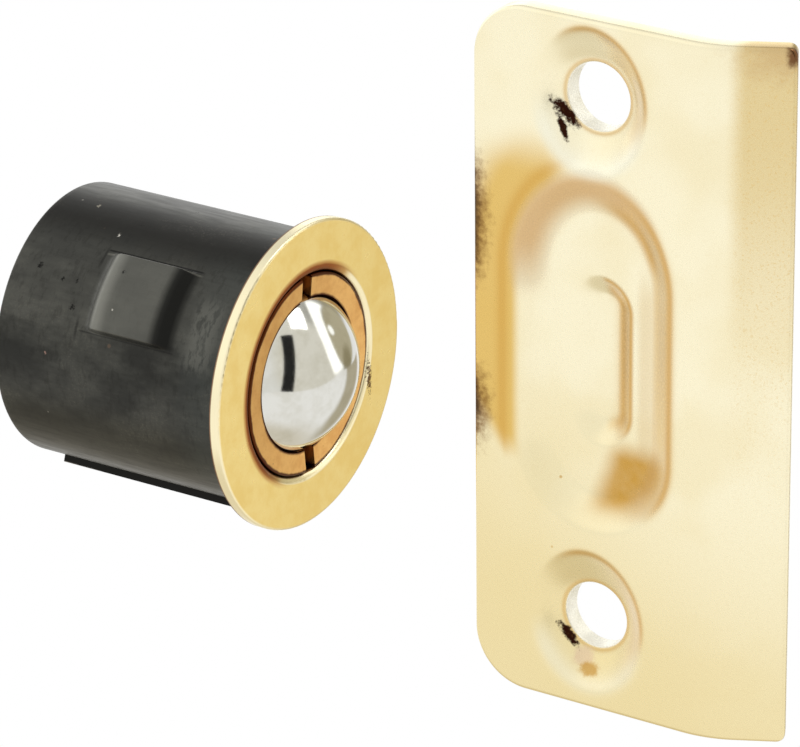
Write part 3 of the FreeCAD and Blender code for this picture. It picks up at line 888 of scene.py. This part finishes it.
def makeStrike(v):
    grid = v["grid"] * 1
    fine = v["fineGrid"] * 1
    border = outlineInset(0.0, 0.3)
    points = list(border)
    edges = [(i, (i + 1) % len(border)) for i in range(len(border))]
    loops = [list(range(len(border)))]
    holeCount = v["holeSides"]
    for side in (-1, 1):
        centre = v["middle"] + side * v["screwSpacing"] / 2
        start = len(points)
        points.extend(ringPoints(centre, v["hole"], holeCount))
        loop = list(range(start, start + holeCount))
        edges.extend((loop[(i + 1) % holeCount], loop[i]) for i in range(holeCount))
        loops.append(loop[::-1])
        for extra in (0.03, 0.08, 0.16, 0.26):
            points.extend(ringPoints(centre, v["hole"] + extra, holeCount))
    for inset in (0.015, 0.05, 0.1, 0.17, 0.26, 0.35, 0.5):
        points.extend(outlineInset(inset, 0.3))
    inner = v["edgeRound"] + 0.28
    rows = int(v["height"] / fine)
    columns = int(v["width"] / fine)
    every = max(1, round(grid / fine))
    for row in range(rows + 1):
        height = row * v["height"] / rows
        for column in range(columns + 1):
            across = column * v["width"] / columns
            if insideDepth(across, height) < inner:
                continue
            holeAt, oval = holeFar(across, height)
            if holeAt < v["hole"] + 0.36:
                continue
            shaped = dishFar(across, height) < v["dish"] + 0.4 or oval < v["dimpleWide"] + 0.4
            if shaped or (row % every == 0 and column % every == 0):
                jog = 0.5 * v["width"] / columns if row % 2 and shaped else 0.0
                points.append((across + jog, height))
    result = delaunay_2d_cdt([Vector(p) for p in points], edges, [], 1, 1e-5)
    flatPoints, triangles, origins = result[0], result[2], result[3]
    place = {}
    for new, olds in enumerate(origins):
        for old in olds:
            place[old] = new
    count = len(flatPoints)
    holes = [
        Vector((v["holeAcross"], v["middle"] + side * v["screwSpacing"] / 2)) for side in (-1, 1)
    ]
    front = []
    behind = []
    for point in flatPoints:
        depth = showDepth(point.x, point.y)
        front.append(bentPlace(point.x, point.y, depth))
        depth -= roundOff(v["edgeRound"], insideDepth(point.x, point.y))
        behind.append(bentPlace(point.x, point.y, depth + v["thickness"]))
    faces = []
    for triangle in triangles:
        middle = sum((flatPoints[i] for i in triangle), Vector((0, 0))) / 3
        if any((middle - hole).length < v["hole"] * 0.999 for hole in holes):
            continue
        faces.append(tuple(triangle))
        faces.append(tuple(count + i for i in triangle[::-1]))
    for loop in loops:
        ring = [place[i] for i in loop]
        for i, here in enumerate(ring):
            there = ring[(i + 1) % len(ring)]
            faces.append((there, here, count + here, count + there))
    used = sorted({i for f in faces for i in f})
    index = {old: new for new, old in enumerate(used)}
    everything = front + behind
    strikeObject = makeObject(
        "strikePlate", [everything[i] for i in used], [tuple(index[i] for i in f) for f in faces])
    layers = {}
    for i in used:
        spot = flatPoints[i % count]
        for name, value in platePaintedLight(spot.x, spot.y).items():
            layers.setdefault(name, []).append(value if i < count else 0.0)
    paint(strikeObject, layers)
    strikeObject.data.set_sharp_from_angle(angle=math.radians(60))
    return strikeObject


# A bump of 1 at a place, as wide as its width to each side
def bell(value, place, width):
    return math.exp(-(((value - place) / width) ** 2))


# How much of each painted reflection and highlight a point of the sheet takes, and whether it is on the
# show side
def platePaintedLight(across, height):
    v = strike
    step = 0.12
    leanAcross = (showDepth(across + step, height) - showDepth(across - step, height)) / (2 * step)
    leanUp = (showDepth(across, height + step) - showDepth(across, height - step)) / (2 * step)
    inner = rise((insideDepth(across, height) - 0.3) / 0.3)
    # Painted reflection, beige, on the pressed walls, by their slope
    shade = max(0.0, -0.85 * leanAcross - 0.25 * leanUp) * inner
    dishAt = dishFar(across, height)
    over = height - v["middle"]
    side = across - v["centreAcross"]
    # Painted reflections: pinkish over the dish's top wall, and beige between the pocket and the dish's
    # right wall
    turn = math.degrees(math.atan2(max(0.0, abs(over) - v["dishLine"]) * (1 if over > 0 else -1), side))
    pink = rise((turn - 30) / 45) * rise((over - 3.5) / 6)
    pink *= rise((dishAt - 4.1) / 2.0) * rise((7.9 - dishAt) / 1.2)
    beige = rise((side - 2.6) / 1.2) * rise((7.0 - dishAt) / 1.4)
    beige *= rise((over + 9) / 3) * rise((11 - over) / 6)
    shade = max(shade, 0.24 * beige)
    # Painted reflections as golden lines: round the dish's right and top, in the pocket's right wall, and
    # at the dimples' tops
    line = bell(dishAt, 6.85, 0.42) * rise((turn + 55) / 35) * rise((85 - turn) / 40)
    line += 0.8 * bell(dishAt, 5.1, 0.6) * rise((turn - 8) / 25) * rise((105 - turn) / 40)
    pocketAt = pocketFar(across, height)
    within = rise((side + 0.2) / 0.8) * rise((over + v["pocketLine"] + 2.2) / 1.5)
    line += 0.75 * bell(pocketAt, 1.55, 0.65) * within
    line += 0.95 * bell(pocketAt, 2.6, 0.2) * within
    plain, oval = holeFar(across, height)
    hole = v["middle"] + math.copysign(v["screwSpacing"] / 2, over)
    turn = math.degrees(math.atan2(height - hole, across - v["holeAcross"]))
    if plain < 8:
        shade *= 0.6
        line += 0.65 * bell(plain, 2.95, 0.16)
        line += 0.85 * bell(oval, 4.85, 0.26) * rise((turn + 25) / 35) * rise((128 - turn) / 30)
    # Painted highlight: the dimples' walls are bright below and to the left
    facing = rise((-5 - turn) / 45) * rise((turn + 178) / 40)
    pale = bell(oval, 4.7, 0.6) * facing * (0.9 if over > 0 else 0.5)
    # Painted reflection: the band of deeper gold left of the dish, with a darker line along its inner side
    band = rise((dishAt - v["dish"] + 0.9) / 0.9) * rise((13.0 - dishAt) / 3)
    band *= rise((-1.2 - side) / 3.2) * rise((19.5 - over) / 5)
    band *= rise((over + 9.6 + 1.3 * min(0.0, side + 7.9)) / 2.6)
    line += 0.8 * band * bell(dishAt, v["dish"] + 0.7, 0.5)
    # Painted reflection in amber under the pocket
    amber = rise((side - 0.5 - 0.37 * (over + 6.2)) / 2.2) * rise((-5.7 - over) / 2.2)
    amber *= rise((over + 13.6) / 2.6) * rise((7.2 - dishAt) / 2.4)
    return {
        "shade": shade, "pink": pink, "line": min(1.0, line),
        "band": band, "amber": amber, "pale": pale, "front": 1.0,
    }


strikePlate = makeStrike(strike)
print("strike made:", len(strikePlate.data.polygons), "faces")

# Gold plating on the strike, with the darker patches that the photo shows
plate = {
    "cream": tone(255, 247, 216),
    "gold": tone(240, 222, 168),
    "deep": tone(222, 178, 92),
    "beige": tone(236, 210, 160),
    "pink": tone(226, 188, 132),
    "amber": tone(206, 160, 78),
    "brown": tone(134, 92, 44),
    "dark": tone(56, 32, 18),
    "paintedDarkReflection": tone(46, 20, 12),
    "line": tone(214, 166, 80),
    "band": tone(228, 188, 94),
    "lip": tone(232, 212, 160),
    "pale": tone(255, 253, 234),
    "wall": tone(255, 253, 242),
    "roughness": 0.27,
}


def plating(v, s):
    material, tree, shader, p = newMaterial("goldPlating")
    local = tree.stretched(p, (1, 1, 1), (-s["left"], -s["face"], -s["bottom"]))
    x, y, z = splitXyz(tree, local)
    cloud = tree.noise(local, 0.11, 2.0, 0.45)
    fine = tree.noise(local, 3.2, 4.0, 0.65)
    ragged = tree.sum("MULTIPLY_ADD", tree.noise(local, 1.2, 4.0, 0.68), 1.7, -0.85)
    colour = tree.lay(v["cream"], v["gold"], tree.step(cloud, 0.42, 0.64), 0.3)
    lower = tree.step(tree.sum("ADD", z, tree.sum("MULTIPLY", x, 0.5)), 36, 8)
    colour = tree.lay(colour, v["gold"], lower, 0.9)
    # The lip is deeper and speckled towards its top
    lip = tree.step(x, s["flat"] + 2.8, s["flat"] + 4.4)
    sand = tree.noise(local, 5.5, 3.0, 0.75)
    colour = tree.mix(tree.sum("MULTIPLY", lip, tree.step(z, 26, 52)), colour, v["lip"])
    speckled = tree.sum("MULTIPLY", lip, tree.step(z, 10, 40))
    speckled = tree.sum("MULTIPLY", speckled, tree.step(sand, 0.52, 0.7))
    colour = tree.lay(colour, v["deep"], speckled, 0.4)
    # Painted reflections and highlights that were worked out point by point
    colour = tree.lay(colour, v["band"], painted(tree, "band"), 0.88)
    shade = painted(tree, "shade")
    colour = tree.lay(colour, v["beige"], tree.step(shade, 0.05, 0.4), 0.85)
    colour = tree.lay(colour, v["pink"], painted(tree, "pink"), 0.95)
    colour = tree.lay(colour, v["line"], painted(tree, "line"), 0.85)
    cloudy = tree.sum("MULTIPLY_ADD", tree.noise(local, 0.5, 2.0, 0.5), 0.5, 0.7)
    cloudy = tree.sum("MULTIPLY", painted(tree, "amber"), cloudy, clamp=True)
    colour = tree.mix(cloudy, colour, v["amber"])
    colour = tree.lay(colour, v["pale"], painted(tree, "pale"), 0.8)
    # Patches on the show side, placed from the sheet's left edge and bottom: painted reflections, brown to
    # dark, by the left edge; a pale and an amber patch below the lower hole; two brownish marks at the
    # lip's top
    front = painted(tree, "front")
    middle = s["middle"]
    upper = middle + s["screwSpacing"] / 2
    lower = middle - s["screwSpacing"] / 2
    patches = (
        # across, up, half across, half up, edge, shade, strength
        (-0.4, middle + 10.2, 1.6, 5.0, 0.5, v["brown"], 0.8),
        (-0.5, middle + 10.2, 0.95, 4.2, 0.45, v["dark"], 0.85),
        (-0.3, middle - 5.4, 1.6, 3.2, 0.5, v["brown"], 0.8),
        (-0.4, middle - 5.2, 0.9, 2.3, 0.45, v["dark"], 0.85),
        (9.5, lower - 3.7, 0.8, 0.7, 0.5, tone(230, 204, 170), 0.8),
        (10.1, lower - 4.5, 0.8, 0.5, 0.4, v["amber"], 0.85),
        (25.6, s["height"] - 0.3, 2.4, 1.9, 0.9, tone(204, 170, 118), 0.6),
        (26.4, s["height"] - 0.6, 0.5, 0.8, 0.5, tone(104, 62, 34), 0.9),
    )
    for across, up, halfAcross, halfUp, edge, patchTone, strength in patches:
        patch = tree.spot(local, (across, 0, up), (halfAcross, 0, halfUp), edge, ragged)
        patch = tree.sum("MULTIPLY", patch, front)
        colour = tree.lay(colour, patchTone, patch, strength)
    # Painted reflections: dark streaks that run down and to the right, beside each hole
    paintedDarkReflections = (
        # across, up, lean in degrees, half length, half width
        (7.6, upper - 1.7, -44, 1.45, 0.42),
        (7.5, upper - 2.75, -62, 1.1, 0.22),
        (7.95, lower - 2.15, -46, 1.05, 0.34),
    )
    uneven = tree.sum("MULTIPLY_ADD", tree.noise(local, 2.3, 4.0, 0.7), 2.2, -1.1)
    for across, up, lean, half, wide in paintedDarkReflections:
        cos = math.cos(math.radians(lean))
        sin = math.sin(math.radians(lean))
        aside = tree.sum("SUBTRACT", x, across)
        off = tree.sum("SUBTRACT", z, up)
        length = tree.sum("MULTIPLY_ADD", aside, cos / half, tree.sum("MULTIPLY", off, sin / half))
        width = tree.sum("MULTIPLY_ADD", aside, -sin / wide, tree.sum("MULTIPLY", off, cos / wide))
        reach = tree.sum("ADD", tree.reach(length, width), uneven)
        paintedDarkReflection = tree.sum("MULTIPLY", tree.step(reach, 1.35, 0.7), front)
        colour = tree.mix(paintedDarkReflection, colour, v["paintedDarkReflection"])
    marks = tree.specks(local, 0.3, 0.05, 0.35)
    colour = tree.lay(colour, v["amber"], marks, 0.7)
    # The holes' own walls stay pale in the light that comes through
    walls = None
    for height in (upper, lower):
        off = tree.sum("SUBTRACT", z, height)
        aside = tree.sum("SUBTRACT", x, s["holeAcross"])
        wall = tree.step(tree.reach(aside, off), s["hole"] + 0.1, s["hole"] + 0.02)
        walls = wall if walls is None else tree.sum("MAXIMUM", walls, wall)
    colour = tree.mix(walls, colour, v["wall"])
    colour = tree.lay(colour, v["deep"], tree.step(fine, 0.5, 0.75), 0.06)
    tree.put(shader.inputs["Base Color"], colour)
    # Less metallic under the painted beige and pink reflections and on the holes' walls, so their painted
    # colour shows evenly
    matte = tree.sum("MAXIMUM", shade, painted(tree, "pink"))
    matte = tree.sum("MAXIMUM", walls, tree.step(matte, 0.02, 0.3))
    tree.put(shader.inputs["Metallic"], tree.sum("MULTIPLY_ADD", matte, -0.85, 1.0))
    tree.put(shader.inputs["Roughness"], tree.sum("MULTIPLY_ADD", fine, 0.14, v["roughness"] - 0.07))
    bump(tree, shader, tree.noise(local, 2.0, 3.0, 0.6), 0.05, 0.012)
    return material


setMaterial(strikePlate, plating(plate, strike))
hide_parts("strike_plate")
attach(strikePlate, "catch_body")
strikePlate.visible_glossy = False      # so the ball doesn't mirror the strike either
print("strike plated")


# Light: a white studio whose parts show in the polished ball and shade the tube
studio = {
    "base": 0.93,
    "zones": [
        # centre, radius in degrees, softness in degrees, colour
        ((0.93, 0.1, 0.35), 50, 10, (0.82, 0.795, 0.715, 1)),
        ((-0.05, 0.97, 0.24), 13, 6, (0.42, 0.38, 0.27, 1)),
        ((0.1, 0.62, 0.78), 26, 10, (0.5, 0.49, 0.45, 1)),
        ((-0.5, 0.5, 0.7), 17, 12, (0.7, 0.7, 0.69, 1)),
        ((-0.6, -0.62, 0.5), 26, 12, (1.05, 1.04, 1.01, 1)),
        ((-0.98, 0.04, 0.2), 15, 9, (1.5, 1.5, 1.46, 1)),
    ],
    "sweep": (1.5, 1.5, 1.46, 1),
    # A greenish room with a white bend round it: its middle, and colours
    "ring": (0.392, 0.911, 0.1275),
    "room": (0.52, 0.47, 0.33, 1),
    "bend": (1.6, 1.6, 1.56, 1),
    "bendMiddle": (0.674, 0.595, 0.44),
    "deeper": (0.3, 0.26, 0.15, 1),
    "deeperMiddle": (0.46, 0.87, -0.17),
    "lamp": (1.3, 1.3, 1.25, 1),
    "lampMiddle": (0.509, 0.792, 0.336),
    # The window's half sizes are sines
    "window": (0.405, 0.304, 0.862),
    "windowSide": (0.315, 0.839, -0.444),
    "windowWide": 0.166,
    "windowTall": 0.233,
    "windowLight": (3, 3, 3, 1),
    "board": (0.02, 0.02, 0.02, 1),
    "boardSide": (0.4955, 0.8479, -0.1884),
    "boardMiddle": (0.8405, -0.4132, 0.3509),
}


def makeWorld(v):
    world = bpy.data.worlds.new("studio")
    bpy.context.scene.world = world
    world.use_nodes = True
    tree = Tree(world.node_tree)
    background = world.node_tree.nodes["Background"]
    way = tree.add("ShaderNodeTexCoord").outputs["Generated"]
    x, y, z = splitXyz(tree, way)
    colour = tree.mix(1.0, (0, 0, 0, 1), (v["base"], v["base"], v["base"] * 0.985, 1))
    for centre, radius, soft, shade in v["zones"]:
        near = tree.dot(way, tuple(Vector(centre).normalized()))
        outer = math.cos(math.radians(radius + soft))
        inner = math.cos(math.radians(radius - soft))
        colour = tree.mix(tree.step(near, outer, inner), colour, shade)
    # A white sweep behind, above a darker horizon
    behind = tree.sum("MULTIPLY", tree.step(y, 0.3, 0.6), tree.step(x, -0.15, -0.35))
    sweep = tree.within(z, 0.0, 0.1, 0.4, 0.52)
    colour = tree.mix(tree.sum("MULTIPLY", behind, sweep), colour, v["sweep"])
    # To the right a greenish room behind a bent white board
    ring = tree.dot(way, tuple(Vector(v["ring"]).normalized()))
    colour = tree.mix(tree.step(ring, 0.915, 0.94), colour, v["room"])
    deeper = tree.step(tree.dot(way, v["deeperMiddle"]), 0.972, 0.995)
    colour = tree.lay(colour, v["deeper"], deeper, 0.8)
    bend = tree.within(ring, 0.78, 0.81, 0.91, 0.93)
    bend = tree.sum("MULTIPLY", bend, tree.step(tree.dot(way, v["bendMiddle"]), 0.76, 0.83))
    colour = tree.mix(bend, colour, v["bend"])
    lamp = tree.step(tree.dot(way, v["lampMiddle"]), 0.9955, 0.998)
    colour = tree.mix(lamp, colour, v["lamp"])
    # A window
    upright = tuple(Vector(v["window"]).cross(Vector(v["windowSide"])))
    aside = tree.sum("ABSOLUTE", tree.dot(way, v["windowSide"]))
    level = tree.sum("ABSOLUTE", tree.dot(way, upright))
    pane = tree.sum(
        "MULTIPLY",
        tree.step(aside, v["windowWide"] + 0.02, v["windowWide"] - 0.02),
        tree.step(level, v["windowTall"] + 0.02, v["windowTall"] - 0.02),
    )
    pane = tree.sum("MULTIPLY", pane, tree.sum("GREATER_THAN", tree.dot(way, v["window"]), 0.0))
    colour = tree.mix(pane, colour, v["windowLight"])
    # A dark upright board
    width = tree.step(tree.sum("ABSOLUTE", tree.dot(way, v["boardSide"])), 0.14, 0.12)
    length = tree.step(tree.dot(way, v["boardMiddle"]), 0.812, 0.824)
    colour = tree.mix(tree.sum("MULTIPLY", width, length), colour, v["board"])
    # The camera sees plain white behind the object
    seen = tree.add("ShaderNodeLightPath").outputs["Is Camera Ray"]
    tree.put(background.inputs[0], tree.mix(seen, colour, (1, 1, 1, 1)))


# A pale floor well below; a painted shadow makes it darker under the object
floorSheet = {
    "along": 0.02,
    "drop": 0.25,
    "half": 0.87,
    "shaded": (-0.1, -0.03, 0),         # middle of the darker part
    "near": (0.74, 0.69, 0.58, 1),
    "far": (0.98, 0.97, 0.95, 1),
    "wedge": (0.5, 0.45, 0.33, 1),
}


def makeFloor(v):
    size = v["half"]
    corners = [(-size, -size, 0), (size, -size, 0), (size, size, 0), (-size, size, 0)]
    mesh = bpy.data.meshes.new("floor")
    mesh.from_pydata(corners, [], [(0, 1, 2, 3)])
    floor = bpy.data.objects.new("floor", mesh)
    floor.location = (v["along"], 0, -v["drop"])
    bpy.context.scene.collection.objects.link(floor)
    material = bpy.data.materials.new("floor")
    material.use_nodes = True
    tree = Tree(material.node_tree)
    material.node_tree.nodes.remove(material.node_tree.nodes["Principled BSDF"])
    output = material.node_tree.nodes["Material Output"]
    place = tree.add("ShaderNodeTexCoord").outputs["Object"]
    reach = tree.add("ShaderNodeVectorMath", operation="DISTANCE")
    tree.put(reach.inputs[0], place)
    reach.inputs[1].default_value = v["shaded"]
    colour = tree.mix(tree.step(reach.outputs["Value"], 0.14, 0.27), v["near"], v["far"])
    # The greenish room goes on over the floor, in a wedge behind and to the right
    x, y, z = splitXyz(tree, place)
    slant = tree.step(tree.sum("MULTIPLY_ADD", y, -0.6, x), 0.04, -0.06)
    wedge = tree.sum("MULTIPLY", slant, tree.step(x, -0.1, 0.0))
    wedge = tree.sum("MULTIPLY", wedge, tree.step(y, 0.1, 0.22))
    colour = tree.mix(wedge, colour, v["wedge"])
    seen = tree.add("ShaderNodeLightPath").outputs["Is Camera Ray"]
    glow = tree.add("ShaderNodeEmission")
    tree.put(glow.inputs["Color"], tree.mix(seen, colour, (1, 1, 1, 1)))
    tree.put(output.inputs["Surface"], glow.outputs[0])
    mesh.materials.append(material)


makeWorld(studio)
makeFloor(floorSheet)
print("studio lit")
